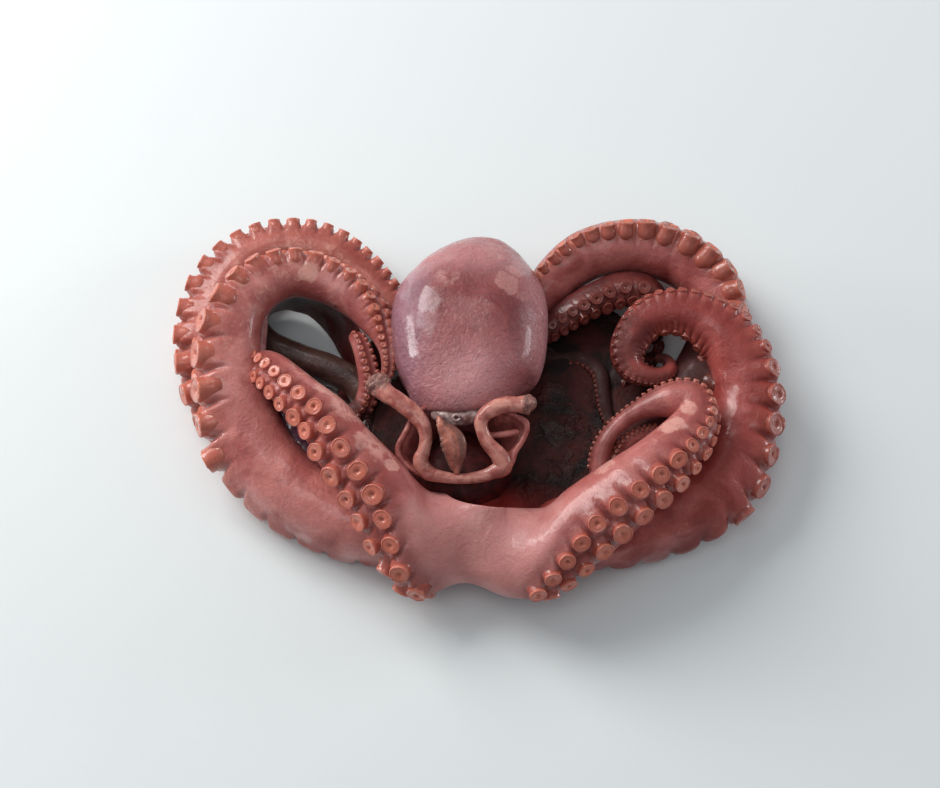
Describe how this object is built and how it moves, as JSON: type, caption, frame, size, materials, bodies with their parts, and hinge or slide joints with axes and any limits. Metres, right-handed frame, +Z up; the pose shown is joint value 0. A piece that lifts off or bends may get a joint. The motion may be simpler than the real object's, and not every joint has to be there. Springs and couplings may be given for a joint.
{
  "type": "whole cooked octopus",
  "caption": "Whole cooked octopus lying on its back half, its suckered arms curled up round the rounded head sac and the open funnel.",
  "frame": {"origin": "on the surface that the octopus lies on, under the middle of its bounding box", "axes": "+X to the right across the spread arms, +Y from the front saddle of web towards the head sac's blunt end, +Z up"},
  "size_m": [0.3044, 0.2043, 0.065],
  "materials": {
    "octopus": "satin"
  },
  "bodies": {
    "root": {"octopus": "octopus"}
  },
  "joints": []
}
